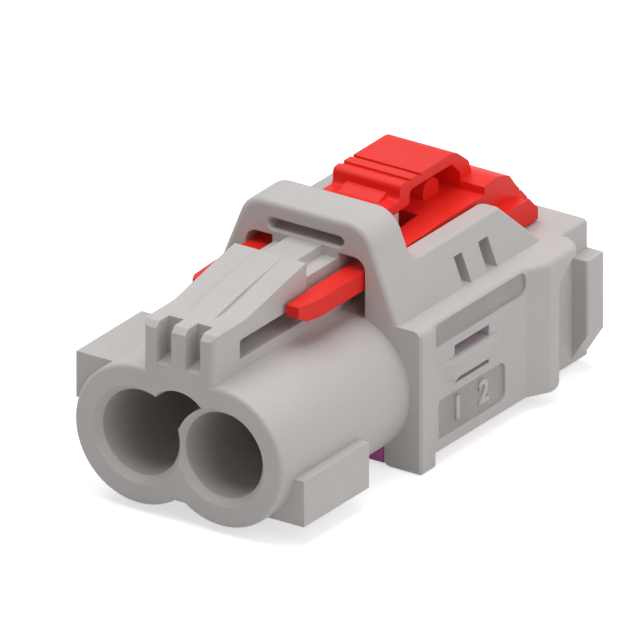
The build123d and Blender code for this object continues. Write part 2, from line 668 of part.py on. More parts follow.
def terminal_lock():
    """Base plate, cross plate with a fork round each contact, and side arms."""
    arm_out = LOCK_GAP_OUT - CLEAR
    arm_in = arm_out - LOCK_ARM
    base_top = SIDE_BOTTOM - CLEAR
    base = block(-arm_out, arm_out, BARREL_LENGTH + FRAME_DEPTH + CLEAR, LOCK_BASE_END,
                 LOCK_BASE_BOTTOM, base_top)
    nose_half = LEG_IN - CLEAR
    nose = block(-nose_half, nose_half, BARREL_LENGTH + CLEAR, LOCK_START,
                 LOCK_BASE_BOTTOM, base_top)
    shoulder = block(LOCK_SHOULDER_IN, nose_half, BARREL_LENGTH + CLEAR, LOCK_START - CLEAR,
                     LOCK_BASE_BOTTOM, LOCK_SHOULDER_TOP)
    plate = block(-arm_out, arm_out, LOCK_START, LOCK_START + LOCK_PLATE,
                  LOCK_BASE_BOTTOM, LOCK_PLATE_TOP)
    fork_r = NECK_R + CLEAR
    for side in SIDES.values():
        x = side * PITCH / 2
        plate -= rod(fork_r, x, 0, LOCK_START - 1, LOCK_START + LOCK_PLATE + 1)
        plate -= block(x - fork_r, x + fork_r, LOCK_START - 1, LOCK_START + LOCK_PLATE + 1,
                       0, LOCK_PLATE_TOP + 1)
    arm = block(arm_in, arm_out, LOCK_START, LOCK_BASE_END, LOCK_BASE_BOTTOM, LOCK_ARM_TOP)
    return base + nose + plate + both_sides(shoulder + arm)


# Rear cover and wire seals

def rear_cover():
    """Plate with two collars that press on the seals, a hole for each cable and two snap lugs."""
    y0 = LENGTH - COVER_POCKET_DEPTH + SEAT
    plate = along(cover_outline(SEAT), y0, LENGTH - COVER_RECESS)
    plate = chamfer(plate.faces().sort_by(Axis.Y)[-1].edges(), COVER_EDGE)
    for side in SIDES.values():
        x = side * PITCH / 2
        plate += rod(SEAL_BORE_R - SEAT, x, 0, y0 - COLLAR_LENGTH, y0)
        plate += cover_lug(side, 0) & block(-BOX_HALF, BOX_HALF, y0, LENGTH, -BOX_HALF, BOX_HALF)
    for side in SIDES.values():
        x = side * PITCH / 2
        plate -= rod(CABLE_HOLE_R, x, 0, 0, LENGTH + 1)
        plate -= cone(CABLE_HOLE_R, CABLE_HOLE_R + COVER_EDGE, x, 0, LENGTH - COVER_RECESS - COVER_EDGE,
                      LENGTH - COVER_RECESS)
    return plate


def wire_seal(side):
    """Ribbed seal that grips the cable and fills its bore."""
    x = side * PITCH / 2
    y0 = CAVITY_END + SEAT
    y1 = LENGTH - COVER_POCKET_DEPTH - COLLAR_LENGTH
    lip_r = SEAL_BORE_R - SEAT
    root_r = lip_r - SEAL_LIP_HEIGHT
    lip = (y1 - y0) / SEAL_LIPS
    points = [(SEAL_HOLE_R, y0), (root_r, y0)]
    for i in range(SEAL_LIPS):
        start = y0 + i * lip
        points += [(lip_r, start + lip / 2), (root_r, start + lip)]
    points.append((SEAL_HOLE_R, y1))
    half = Polygon(*points, align=None)
    return Pos(x, 0, 0) * revolve(half, Axis.Y)


# Contact set

def turned(side, *points):
    """A piece turned about one bore axis, from points (radius, y)."""
    return Pos(side * PITCH / 2, 0, 0) * revolve(Polygon(*points, align=None), Axis.Y)


def contact_sleeve(side):
    """Slotted spring sleeve that the mate's outer contact slides over."""
    x = side * PITCH / 2
    y1 = SLEEVE_START + SLEEVE_LENGTH
    inner = SLEEVE_R - SLEEVE_WALL
    sleeve = turned(side, (inner, SLEEVE_START), (SLEEVE_R - SLEEVE_WALL / 2, SLEEVE_START),
                    (SLEEVE_R, SLEEVE_START + SLEEVE_WALL), (SLEEVE_R, y1), (inner, y1))
    cut = block(-SLEEVE_SLOT / 2, SLEEVE_SLOT / 2, SLEEVE_START - 1, SLEEVE_START + SLEEVE_SLOT_LENGTH,
                inner / 2, SLEEVE_R + 1)
    for i in range(SLEEVE_SLOTS):
        sleeve -= Pos(x, 0, 0) * Rot(0, i * 360 / SLEEVE_SLOTS, 0) * cut
    return sleeve


def contact_body(side):
    """Outer body: spigot in the sleeve, flange held by the terminal lock, neck and crimp neck."""
    spigot_r = SLEEVE_R - SLEEVE_WALL - SEAT / 2
    sleeve_end = SLEEVE_START + SLEEVE_LENGTH
    flange_end = LOCK_START - CLEAR
    hole = INSULATOR_STEM_R + SEAT
    return turned(
        side, (hole, sleeve_end - SPIGOT_LENGTH), (spigot_r, sleeve_end - SPIGOT_LENGTH),
        (spigot_r, sleeve_end + SEAT), (FLANGE_R, sleeve_end + SEAT), (FLANGE_R, flange_end),
        (NECK_R, flange_end),
        (NECK_R, CRIMP_NECK_START), (CRIMP_NECK_R, CRIMP_NECK_START), (CRIMP_NECK_R, CONTACT_END),
        (CABLE_CORE_R, CONTACT_END), (CABLE_CORE_R, CRIMP_NECK_START - CORE_STEP),
        (hole, CRIMP_NECK_START - CORE_STEP),
    )


def insulator(side):
    """Moulded insulator that holds the centre contact."""
    y0 = SLEEVE_START + INSULATOR_SETBACK
    head_end = y0 + INSULATOR_HEAD
    y1 = CRIMP_NECK_START - CORE_STEP - CLEAR
    head_r = SLEEVE_R - SLEEVE_WALL - SEAT
    hole = PIN_R + SEAT
    return turned(side, (hole, y0), (head_r, y0), (head_r, head_end), (INSULATOR_STEM_R, head_end),
                  (INSULATOR_STEM_R, y1), (hole, y1))


def centre_contact(side):
    """Centre contact with a slotted socket at the front and a crimp hole at the back."""
    x = side * PITCH / 2
    y0 = SLEEVE_START + INSULATOR_SETBACK + PIN_SETBACK
    y1 = CRIMP_NECK_START - CORE_STEP - CLEAR
    pin = rod(PIN_R, x, 0, y0, y1)
    pin -= rod(PIN_SOCKET_R, x, 0, y0 - 1, y0 + PIN_SOCKET_DEPTH)
    pin -= rod(PIN_SOCKET_R, x, 0, y1 - PIN_SOCKET_DEPTH, y1 + 1)
    pin -= block(x - PIN_SLOT / 2, x + PIN_SLOT / 2, y0 - 1, y0 + PIN_SOCKET_DEPTH, -1, 1)
    return pin


def crimp_ferrule(side):
    """Ferrule round the crimp neck."""
    y0 = CRIMP_NECK_START + CLEAR
    inner = CRIMP_NECK_R + SEAT
    outer = inner + FERRULE_WALL
    return turned(side, (inner, y0), (outer, y0), (outer, CONTACT_END), (inner, CONTACT_END))


# Output

def main():
    os.makedirs("parts", exist_ok=True)
    pieces = {"housing": housing(), "position_lock": position_lock(),
              "terminal_lock": terminal_lock(), "rear_cover": rear_cover()}
    makers = {"wire_seal": wire_seal, "contact_sleeve": contact_sleeve, "contact_body": contact_body,
              "insulator": insulator, "centre_contact": centre_contact, "crimp_ferrule": crimp_ferrule}
    for name, make in makers.items():
        for side_name, side in SIDES.items():
            pieces[f"{name}_{side_name}"] = make(side)
    for name, piece in pieces.items():
        export_step(piece, f"parts/{name}.step")


main()
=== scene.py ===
"""A two-way coaxial cable jack on a plain pale floor, seen from the photograph's angle."""
import json
import math

import bpy
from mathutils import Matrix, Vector


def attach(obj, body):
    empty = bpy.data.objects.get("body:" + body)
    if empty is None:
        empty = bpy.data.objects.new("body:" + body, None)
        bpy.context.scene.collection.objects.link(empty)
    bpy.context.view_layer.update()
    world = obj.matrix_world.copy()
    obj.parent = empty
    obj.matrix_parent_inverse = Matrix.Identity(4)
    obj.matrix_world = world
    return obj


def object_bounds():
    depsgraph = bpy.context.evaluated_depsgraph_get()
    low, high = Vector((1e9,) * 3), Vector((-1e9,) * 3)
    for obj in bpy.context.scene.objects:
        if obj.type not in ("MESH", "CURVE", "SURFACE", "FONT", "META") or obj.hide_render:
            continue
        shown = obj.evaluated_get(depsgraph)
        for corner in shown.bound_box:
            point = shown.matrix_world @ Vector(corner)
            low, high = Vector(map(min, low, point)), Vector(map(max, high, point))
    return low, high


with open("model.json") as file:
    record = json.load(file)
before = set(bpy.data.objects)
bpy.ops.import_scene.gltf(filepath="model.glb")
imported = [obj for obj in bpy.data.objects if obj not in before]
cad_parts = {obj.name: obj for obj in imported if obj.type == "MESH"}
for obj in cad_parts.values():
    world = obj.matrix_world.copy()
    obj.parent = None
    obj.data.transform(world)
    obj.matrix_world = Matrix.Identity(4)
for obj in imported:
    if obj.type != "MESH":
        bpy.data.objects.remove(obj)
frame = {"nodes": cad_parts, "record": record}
cad_low, cad_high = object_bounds()
bpy.ops.object.select_all(action="DESELECT")

MM = 0.001
SLACK = 0.01 * MM              # for finding faces and edges by their place
STRAIGHT = 0.9                 # share of a direction along an axis that counts as along it


# Camera, as turned and raised as in the photograph

CAMERA_AZIMUTH = math.radians(33.98)
CAMERA_ELEVATION = math.radians(24.43)
CAMERA_DISTANCE = 0.4          # any will do, because the photograph shows no perspective
PICTURE_WIDTH = 42.22 * MM
PICTURE_RIGHT = 9.354 * MM     # middle of the picture, from the middle of the mating face
PICTURE_UP = 8.344 * MM


def outward(azimuth, elevation):
    """Direction from the jack to a camera or lamp; azimuth 0 faces the two barrels."""
    level = math.cos(elevation)
    return Vector((math.sin(azimuth) * level, -math.cos(azimuth) * level, math.sin(elevation)))


def aim_inward(thing, direction):
    thing.rotation_mode = "QUATERNION"
    thing.rotation_quaternion = (-direction).to_track_quat("-Z", "Y")


def add_camera():
    back = outward(CAMERA_AZIMUTH, CAMERA_ELEVATION)
    right = Vector((math.cos(CAMERA_AZIMUTH), math.sin(CAMERA_AZIMUTH), 0))
    up = back.cross(right)
    middle = right * PICTURE_RIGHT + up * PICTURE_UP
    bpy.ops.object.camera_add(location=middle + back * CAMERA_DISTANCE)
    camera = bpy.context.object
    camera.name = "photo_camera"
    aim_inward(camera, back)
    camera.data.type = "ORTHO"
    camera.data.ortho_scale = PICTURE_WIDTH
    bpy.context.scene.camera = camera


# Node helpers

FLOAT = "NodeSocketFloat"
VECTOR = "NodeSocketVector"
MIX_FIRST, MIX_SECOND, MIX_RESULT = 6, 7, 2      # places of a Mix node's colour sockets


def feed(tree, socket, source):
    """Link a socket to this input, or set its value."""
    if isinstance(source, bpy.types.NodeSocket):
        tree.links.new(source, socket)
    else:
        socket.default_value = source


def add_node(tree, kind, inputs=None, **settings):
    """Add a node; settings fill its own fields, and inputs its sockets."""
    node = tree.nodes.new(kind)
    for field, value in settings.items():
        setattr(node, field, value)
    for name, source in (inputs or {}).items():
        feed(tree, node.inputs[name], source)
    return node


def new_effect(name, inputs, outputs):
    """An empty node group with its named sockets, and its input and output nodes."""
    effect = bpy.data.node_groups.new(name, "ShaderNodeTree")
    for socket, kind, value in inputs:
        item = effect.interface.new_socket(socket, in_out="INPUT", socket_type=kind)
        if value is not None:
            item.default_value = value
    for socket, kind in outputs:
        effect.interface.new_socket(socket, in_out="OUTPUT", socket_type=kind)
    return effect, effect.nodes.new("NodeGroupInput"), effect.nodes.new("NodeGroupOutput")


def place_effect(tree, effect, **values):
    """One of the shared effects in a material, with values for its sockets (spaces as _)."""
    node = tree.nodes.new("ShaderNodeGroup")
    node.node_tree = effect
    for name, source in values.items():
        feed(tree, node.inputs[name.replace("_", " ")], source)
    return node


def stretch(tree, value, low, high, new_low=0.0, new_high=1.0):
    """A value's range moved to a new one and cut off at its ends."""
    node = add_node(tree, "ShaderNodeMapRange", {
        "Value": value, "From Min": low, "From Max": high, "To Min": new_low, "To Max": new_high})
    return node.outputs["Result"]


def noise(tree, place, scale, detail, roughness=0.5):
    node = add_node(tree, "ShaderNodeTexNoise", {
        "Vector": place, "Scale": scale, "Detail": detail, "Roughness": roughness})
    return node.outputs["Fac"]


def blend_colours(tree, mask, first, second):
    node = add_node(tree, "ShaderNodeMix", {"Factor": mask}, data_type="RGBA")
    feed(tree, node.inputs[MIX_FIRST], first)
    feed(tree, node.inputs[MIX_SECOND], second)
    return node.outputs[MIX_RESULT]


def maths(tree, operation, first, second):
    node = add_node(tree, "ShaderNodeMath", operation=operation)
    for socket, source in zip(node.inputs, (first, second)):
        feed(tree, socket, source)
    return node.outputs["Value"]


def scaled(tree, value, share):
    return maths(tree, "MULTIPLY", value, share)


# Shared effects

GRAIN_HARDNESS = 0.6           # how sharp the fine grain's edges are
COARSE_PER_FINE = 0.31         # size of the fine grain against the coarse one under it
FINE_SHARE = 0.7
COARSE_SHARE = 0.3
EDGE_SAMPLES = 6
EDGE_BEGINS, EDGE_FULL = 0.98, 0.8               # how far an edge turns the surface, as a cosine
THREAD_DRAW = (1.0, 0.12, 1.0)                   # threads run along the jack, as the melt did
THREAD_SWAY_X, THREAD_SWAY_Z = 0.0012, 0.0008
SWAYS_PER_METRE = 220.0
TARNISH_PER_METRE = 500.0


def make_spark_grain():
    """The fine grain that a spark-eroded mould leaves, with a soft cloud from the melt's flow."""
    effect, start, end = new_effect(
        "spark_grain",
        [("Place", VECTOR, None), ("Grains per Metre", FLOAT, 6000.0), ("Clouds per Metre", FLOAT, 160.0)],
        [("Height", FLOAT), ("Speckle", FLOAT), ("Cloud", FLOAT)])
    place = start.outputs["Place"]
    grains = start.outputs["Grains per Metre"]
    fine = noise(effect, place, grains, 3.0, GRAIN_HARDNESS)
    coarse = noise(effect, place, scaled(effect, grains, COARSE_PER_FINE), 1.0)
    cloud = noise(effect, place, start.outputs["Clouds per Metre"], 2.0)
    height = maths(effect, "ADD", scaled(effect, fine, FINE_SHARE), scaled(effect, coarse, COARSE_SHARE))
    effect.links.new(height, end.inputs["Height"])
    effect.links.new(stretch(effect, fine, 0.35, 0.65), end.inputs["Speckle"])
    effect.links.new(stretch(effect, cloud, 0.3, 0.7), end.inputs["Cloud"])
    return effect


def make_soft_edge():
    """Small radii on the edges, and a mask of where they are, for a painted highlight and smoother roughness
    along them.
    """
    effect, start, end = new_effect(
        "soft_edge", [("Radius", FLOAT, 0.1 * MM)], [("Normal", VECTOR), ("Edge", FLOAT)])
    rounded = add_node(effect, "ShaderNodeBevel", {"Radius": start.outputs["Radius"]},
                       samples=EDGE_SAMPLES).outputs["Normal"]
    shape = add_node(effect, "ShaderNodeNewGeometry")
    match = add_node(effect, "ShaderNodeVectorMath", operation="DOT_PRODUCT")
    effect.links.new(rounded, match.inputs[0])
    effect.links.new(shape.outputs["Normal"], match.inputs[1])
    effect.links.new(rounded, end.inputs["Normal"])
    # the mask of the edges, which the plastics use for a painted highlight
    effect.links.new(stretch(effect, match.outputs["Value"], EDGE_BEGINS, EDGE_FULL), end.inputs["Edge"])
    return effect


def make_fibre_flow():
    """Faint drawn-out threads of glass fibre just under the skin of a filled plastic."""
    effect, start, end = new_effect(
        "fibre_flow", [("Place", VECTOR, None), ("Threads per Metre", FLOAT, 4000.0)], [("Thread", FLOAT)])
    bend = noise(effect, start.outputs["Place"], SWAYS_PER_METRE, 1.0)
    drawn = add_node(effect, "ShaderNodeMapping", {"Vector": start.outputs["Place"], "Scale": THREAD_DRAW})
    sway = add_node(effect, "ShaderNodeCombineXYZ", {
        "X": scaled(effect, bend, THREAD_SWAY_X), "Z": scaled(effect, bend, THREAD_SWAY_Z)})
    swaying = add_node(effect, "ShaderNodeVectorMath", operation="ADD")
    effect.links.new(drawn.outputs["Vector"], swaying.inputs[0])
    effect.links.new(sway.outputs["Vector"], swaying.inputs[1])
    thread = noise(effect, swaying.outputs["Vector"], start.outputs["Threads per Metre"], 1.0)
    effect.links.new(stretch(effect, thread, 0.62, 0.78), end.inputs["Thread"])
    return effect


def make_tool_lines():
    """Fine lines left by turning or drawing; Stretch is small along the way that they run."""
    effect, start, end = new_effect(
        "tool_lines",
        [("Place", VECTOR, None), ("Lines per Metre", FLOAT, 9000.0), ("Stretch", VECTOR, (1.0, 1.0, 1.0))],
        [("Height", FLOAT), ("Streak", FLOAT), ("Tarnish", FLOAT)])
    drawn = add_node(effect, "ShaderNodeVectorMath", operation="MULTIPLY")
    effect.links.new(start.outputs["Place"], drawn.inputs[0])
    effect.links.new(start.outputs["Stretch"], drawn.inputs[1])
    line = noise(effect, drawn.outputs["Vector"], start.outputs["Lines per Metre"], 2.0)
    tarnish = noise(effect, start.outputs["Place"], TARNISH_PER_METRE, 3.0)
    effect.links.new(line, end.inputs["Height"])
    effect.links.new(stretch(effect, line, 0.35, 0.65), end.inputs["Streak"])
    effect.links.new(stretch(effect, tarnish, 0.4, 0.7), end.inputs["Tarnish"])
    return effect


SPARK_GRAIN = make_spark_grain()
SOFT_EDGE = make_soft_edge()
FIBRE_FLOW = make_fibre_flow()
TOOL_LINES = make_tool_lines()


# Materials

GRAIN_SHADE = 0.65             # how far the grain's hollows take the deeper colour
EDGE_HIGHLIGHT = 0.5            # how far the edges take the paler colour, a painted highlight
EDGE_POLISH = 0.08             # how much smoother handling leaves them
GLOSSIER, DULLER = 0.05, 0.06                    # spread of a plastic's roughness over its grain
TARNISH_SHADE = 0.5
TARNISH_DULLNESS = 0.1
LINE_GLOSSIER, LINE_DULLER = 0.06, 0.08          # spread of a metal's roughness over its lines
PLATING_EDGE = 0.04 * MM
SEAL_GRAINS, SEAL_CLOUDS = 3500.0, 500.0         # per metre
SEAL_GRAIN_DEPTH = 0.006 * MM
SEAL_GLOSSY, SEAL_DULL = 0.5, 0.66
SEAL_BLOOM = 0.15
SEAL_BLOOM_ROUGHNESS = 0.5

GREY = (0.60, 0.572, 0.562, 1)
GREY_DEEP = (0.55, 0.523, 0.513, 1)
# paler grey of the glass-fibre threads, and also the painted highlight on the edges
GREY_FIBRE_AND_HIGHLIGHT = (0.70, 0.675, 0.66, 1)
COVER_GREY = (0.58, 0.553, 0.537, 1)
PLATE_GREY = (0.50, 0.477, 0.468, 1)
PLATE_DEEP = (0.38, 0.362, 0.355, 1)
RED = (0.92, 0.026, 0.017, 1)
RED_DEEP = (0.87, 0.022, 0.014, 1)
# paler red: painted highlight on the edges
RED_HIGHLIGHT = (0.95, 0.06, 0.045, 1)
VIOLET = (0.62, 0.10, 0.42, 1)
VIOLET_DEEP = (0.54, 0.085, 0.36, 1)
# paler violet: painted highlight on the edges
VIOLET_HIGHLIGHT = (0.70, 0.17, 0.50, 1)
WAX = (0.86, 0.84, 0.78, 1)
WAX_DEEP = (0.80, 0.775, 0.70, 1)
# paler wax: painted highlight on the edges
WAX_HIGHLIGHT = (0.90, 0.885, 0.84, 1)
SEAL_BLUE = (0.12, 0.22, 0.34, 1)
SEAL_BLUE_DEEP = (0.09, 0.17, 0.28, 1)
BRASS = (0.80, 0.66, 0.40, 1)
BRASS_DULL = (0.62, 0.47, 0.24, 1)
NICKEL = (0.72, 0.70, 0.66, 1)
NICKEL_DULL = (0.56, 0.54, 0.50, 1)
GOLD = (0.90, 0.66, 0.28, 1)
GOLD_DULL = (0.78, 0.53, 0.20, 1)
TIN = (0.70, 0.69, 0.66, 1)
TIN_DULL = (0.52, 0.51, 0.48, 1)
ALONG = (1.0, 0.04, 1.0)       # lines that run along the jack
AROUND = (0.04, 1.0, 0.04)     # lines that run round a turned piece


def start_material(name):
    material = bpy.data.materials.new(name)
    material.use_nodes = True
    tree = material.node_tree
    place = add_node(tree, "ShaderNodeTexCoord").outputs["Object"]
    return material, tree, tree.nodes["Principled BSDF"], place


def finish_surface(tree, shader, colour, gloss, dents):
    """Colour, roughness and small dents, the last as the inputs of a Bump node."""
    tree.links.new(colour, shader.inputs["Base Color"])
    tree.links.new(gloss, shader.inputs["Roughness"])
    bump = add_node(tree, "ShaderNodeBump", {"Strength": 1.0, **dents})
    tree.links.new(bump.outputs["Normal"], shader.inputs["Normal"])


def plastic(name, colour, deep, fibre_and_highlight, roughness, grains, grain_depth, edge=0.09 * MM, fibres=0.0, shine=0.5):
    """A moulded plastic: its colour clouded towards a deeper one, with a painted highlight and smoother
    roughness on its edges.
    """
    material, tree, shader, place = start_material(name)
    grain = place_effect(tree, SPARK_GRAIN, Place=place, Grains_per_Metre=grains).outputs
    soft = place_effect(tree, SOFT_EDGE, Radius=edge).outputs
    body = blend_colours(tree, grain["Cloud"], colour, deep)
    body = blend_colours(tree, scaled(tree, grain["Speckle"], GRAIN_SHADE), body, deep)
    if fibres:
        threads = place_effect(tree, FIBRE_FLOW, Place=place).outputs["Thread"]
        body = blend_colours(tree, scaled(tree, threads, fibres), body, fibre_and_highlight)
    # paler edges: a painted highlight
    body = blend_colours(tree, scaled(tree, soft["Edge"], EDGE_HIGHLIGHT), body, fibre_and_highlight)
    gloss = stretch(tree, grain["Speckle"], 0.0, 1.0, roughness - GLOSSIER, roughness + DULLER)
    gloss = maths(tree, "SUBTRACT", gloss, scaled(tree, soft["Edge"], EDGE_POLISH))
    finish_surface(tree, shader, body, gloss,
                   {"Height": grain["Height"], "Normal": soft["Normal"], "Distance": grain_depth})
    shader.inputs["Specular IOR Level"].default_value = shine
    return material


def metal(name, colour, dull, roughness, run, lines=9000.0, depth=0.002 * MM):
    """A plated metal with fine tool lines, a little duller in patches."""
    material, tree, shader, place = start_material(name)
    marks = place_effect(tree, TOOL_LINES, Place=place, Lines_per_Metre=lines, Stretch=run).outputs
    soft = place_effect(tree, SOFT_EDGE, Radius=PLATING_EDGE).outputs
    body = blend_colours(tree, scaled(tree, marks["Tarnish"], TARNISH_SHADE), colour, dull)
    gloss = stretch(tree, marks["Streak"], 0.0, 1.0, roughness - LINE_GLOSSIER, roughness + LINE_DULLER)
    gloss = maths(tree, "ADD", gloss, scaled(tree, marks["Tarnish"], TARNISH_DULLNESS))
    finish_surface(tree, shader, body, gloss,
                   {"Height": marks["Height"], "Normal": soft["Normal"], "Distance": depth})
    shader.inputs["Metallic"].default_value = 1.0
    return material


def silicone(name, colour, deep):
    """The wire seals: soft, dull, with a powdery bloom."""
    material, tree, shader, place = start_material(name)
    grain = place_effect(tree, SPARK_GRAIN, Place=place, Grains_per_Metre=SEAL_GRAINS,
                         Clouds_per_Metre=SEAL_CLOUDS).outputs
    body = blend_colours(tree, grain["Cloud"], colour, deep)
    gloss = stretch(tree, grain["Speckle"], 0.0, 1.0, SEAL_GLOSSY, SEAL_DULL)
    finish_surface(tree, shader, body, gloss, {"Height": grain["Height"], "Distance": SEAL_GRAIN_DEPTH})
    shader.inputs["Sheen Weight"].default_value = SEAL_BLOOM
    shader.inputs["Sheen Roughness"].default_value = SEAL_BLOOM_ROUGHNESS
    return material


MATERIALS = {
    "housing_plastic": plastic("warm_grey_filled_plastic", GREY, GREY_DEEP, GREY_FIBRE_AND_HIGHLIGHT,
                               roughness=0.52, grains=6500.0, grain_depth=0.022 * MM, fibres=0.08),
    "cover_plastic": plastic("warm_grey_cover_plastic", COVER_GREY, GREY_DEEP, GREY_FIBRE_AND_HIGHLIGHT,
                             roughness=0.48, grains=7500.0, grain_depth=0.01 * MM, fibres=0.08),
    "red_plastic": plastic("signal_red_plastic", RED, RED_DEEP, RED_HIGHLIGHT,
                           roughness=0.46, grains=9000.0, grain_depth=0.006 * MM, shine=0.3),
    "violet_plastic": plastic("plum_violet_plastic", VIOLET, VIOLET_DEEP, VIOLET_HIGHLIGHT,
                              roughness=0.42, grains=9000.0, grain_depth=0.006 * MM),
    "insulator_plastic": plastic("waxy_white_insulator", WAX, WAX_DEEP, WAX_HIGHLIGHT,
                                 roughness=0.4, grains=5000.0, grain_depth=0.004 * MM, edge=0.05 * MM),
    "seal_rubber": silicone("dull_blue_silicone", SEAL_BLUE, SEAL_BLUE_DEEP),
    "sleeve_metal": metal("sprung_brass_sleeve", BRASS, BRASS_DULL, roughness=0.28, run=ALONG),
    "contact_metal": metal("turned_nickel", NICKEL, NICKEL_DULL, roughness=0.26, run=AROUND),
    "gold_plated": metal("gold_contact", GOLD, GOLD_DULL, roughness=0.2, run=ALONG, lines=12000.0),
    "ferrule_metal": metal("drawn_tin_ferrule", TIN, TIN_DULL, roughness=0.36, run=ALONG, lines=6000.0),
    # its edges take the plain grey as a painted highlight
    "plate_texture": plastic("coarse_spark_grey", PLATE_GREY, PLATE_DEEP, GREY,
                             roughness=0.6, grains=4200.0, grain_depth=0.03 * MM, edge=0.05 * MM),
}


def dress_nodes():
    """Each node of the frame takes the material of its own slot."""
    for subpart in frame["record"]["subparts"]:
        node = frame["nodes"][subpart["node"]]
        for slot in node.material_slots:
            slot.material = MATERIALS[subpart["material_slot"]]


# Hand tools

def edit(piece):
    bpy.ops.object.select_all(action="DESELECT")
    piece.select_set(True)
    bpy.context.view_layer.objects.active = piece
    bpy.ops.object.mode_set(mode="EDIT")


def pick_faces(piece, wanted):
    """In edit mode, select only the faces whose middle and normal pass the test."""
    bpy.ops.mesh.select_mode(type="FACE")
    bpy.ops.mesh.select_all(action="DESELECT")
    bpy.ops.object.mode_set(mode="OBJECT")
    for face in piece.data.polygons:
        face.select = wanted(face.center, face.normal)
    bpy.ops.object.mode_set(mode="EDIT")


def pick_edges(piece, wanted):
    """In edit mode, select only the edges whose middle and direction pass the test."""
    bpy.ops.mesh.select_mode(type="EDGE")
    bpy.ops.mesh.select_all(action="DESELECT")
    bpy.ops.object.mode_set(mode="OBJECT")
    for edge in piece.data.edges:
        first, last = (piece.data.vertices[i].co for i in edge.vertices)
        edge.select = wanted((first + last) / 2, (last - first).normalized())
    bpy.ops.object.mode_set(mode="EDIT")


def add_block(name, low, high):
    """A block between two corners, with its place in its mesh."""
    middle = [(a + b) / 2 for a, b in zip(low, high)]
    size = [b - a for a, b in zip(low, high)]
    bpy.ops.mesh.primitive_cube_add(size=1, location=middle, scale=size)
    piece = bpy.context.object
    piece.name = name
    bpy.ops.object.transform_apply(location=True, scale=True)
    return piece


def turn_faces_out():
    bpy.ops.mesh.select_all(action="SELECT")
    bpy.ops.mesh.normals_make_consistent(inside=False)
    bpy.ops.object.mode_set(mode="OBJECT")


def finish_piece(piece, material):
    piece.data.materials.clear()
    piece.data.materials.append(MATERIALS[material])
    bpy.ops.object.transform_apply(location=True, rotation=True, scale=True)
    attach(piece, "housing")
    bpy.ops.object.select_all(action="DESELECT")


# Plates on the right side

RECESS_X = 8.83 * MM
PLATE_RISE = 0.03 * MM         # the textured floor stands this far off the recess
PLATE_SINK = 0.05 * MM         # and runs this far into the plastic round it
RAMP_WIDTH = 0.3 * MM          # soft ramp along the bottom of each plate
RAMP_RISE = 0.17 * MM
UPPER_PLATE = (17.0 * MM, 27.6 * MM, 3.0 * MM, 4.6 * MM)         # Y, Y, Z, Z
LOWER_PLATE = (17.3 * MM, 25.16 * MM, -3.75 * MM, -0.95 * MM)
PLATE_CORNER = 0.6 * MM
PLATE_CORNER_CUTS = 6
PLATE_TIGHT_CORNER = 0.3 * MM
PLATE_TIGHT_CORNER_CUTS = 4
NUMBER_SIZE = 2.3 * MM
NUMBER_RISE = 0.16 * MM
NUMBER_STROKE = 0.05 * MM      # makes the strokes bolder
NUMBER_EDGE = 0.03 * MM


def add_plate_floor(name, y0, y1, z0, z1):
    """The textured floor of a recess: one square corner, two wide ones and a tight one."""
    outer = RECESS_X + PLATE_RISE
    y0, y1, z0, z1 = y0 - PLATE_SINK, y1 + PLATE_SINK, z0 - PLATE_SINK, z1 + PLATE_SINK
    plate = add_block(name, (RECESS_X - PLATE_SINK, y0, z0), (outer, y1, z1))
    edit(plate)
    pick_edges(plate, lambda at, run: abs(run.x) > STRAIGHT and at.y > (y0 + y1) / 2)
    bpy.ops.mesh.bevel(offset=PLATE_CORNER, segments=PLATE_CORNER_CUTS, profile=0.5)
    pick_edges(plate, lambda at, run: abs(run.x) > STRAIGHT and at.y < y0 + SLACK and at.z > (z0 + z1) / 2)
    bpy.ops.mesh.bevel(offset=PLATE_TIGHT_CORNER, segments=PLATE_TIGHT_CORNER_CUTS, profile=0.5)
    bpy.ops.mesh.select_all(action="SELECT")
    bpy.ops.mesh.bisect(plane_co=(0, 0, z0 + RAMP_WIDTH), plane_no=(0, 0, 1))
    pick_edges(plate, lambda at, run: at.x > outer - SLACK and at.z < z0 + SLACK)
    bpy.ops.transform.translate(value=(RAMP_RISE, 0, 0))
    turn_faces_out()
    finish_piece(plate, "plate_texture")


def add_position_numbers():
    """Plain raised numbers of the two positions, in the lower plate."""
    y0, y1, z0, z1 = LOWER_PLATE
    bpy.ops.object.text_add(location=(RECESS_X, (y0 + y1) / 2, (z0 + z1) / 2),
                            rotation=(math.pi / 2, 0, math.pi / 2))
    numbers = bpy.context.object
    numbers.name = "position_numbers"
    text = numbers.data
    text.body = "1   2"
    text.align_x = "CENTER"
    text.align_y = "CENTER"
    text.size = NUMBER_SIZE
    text.extrude = NUMBER_RISE
    text.offset = NUMBER_STROKE
    text.bevel_depth = NUMBER_EDGE
    text.bevel_resolution = 2
    text.resolution_u = 6
    bpy.ops.object.convert(target="MESH")
    finish_piece(bpy.context.object, "housing_plastic")


# Ends of the rolled bars under the side windows

BAR_MIDDLE_Y = 21.225 * MM     # middle of the bars' length
BAR_FACE_X = 9.435 * MM
BAR_BOTTOM = 0.03 * MM
BAR_TOP = 1.6 * MM
BAR_ROUNDING = 0.36 * MM
BAR_ROUNDING_CUTS = 5
FADE_START = 17.1 * MM         # where the bar has run out into the wall
FADE_END = 19.12 * MM
FADE_BACK_X = 8.8 * MM
FADE_TOE_X = 9.0 * MM          # the run-out ends this deep, just under the wall
FADE_CUTS = 10
SMOOTH_BELOW = math.radians(40)


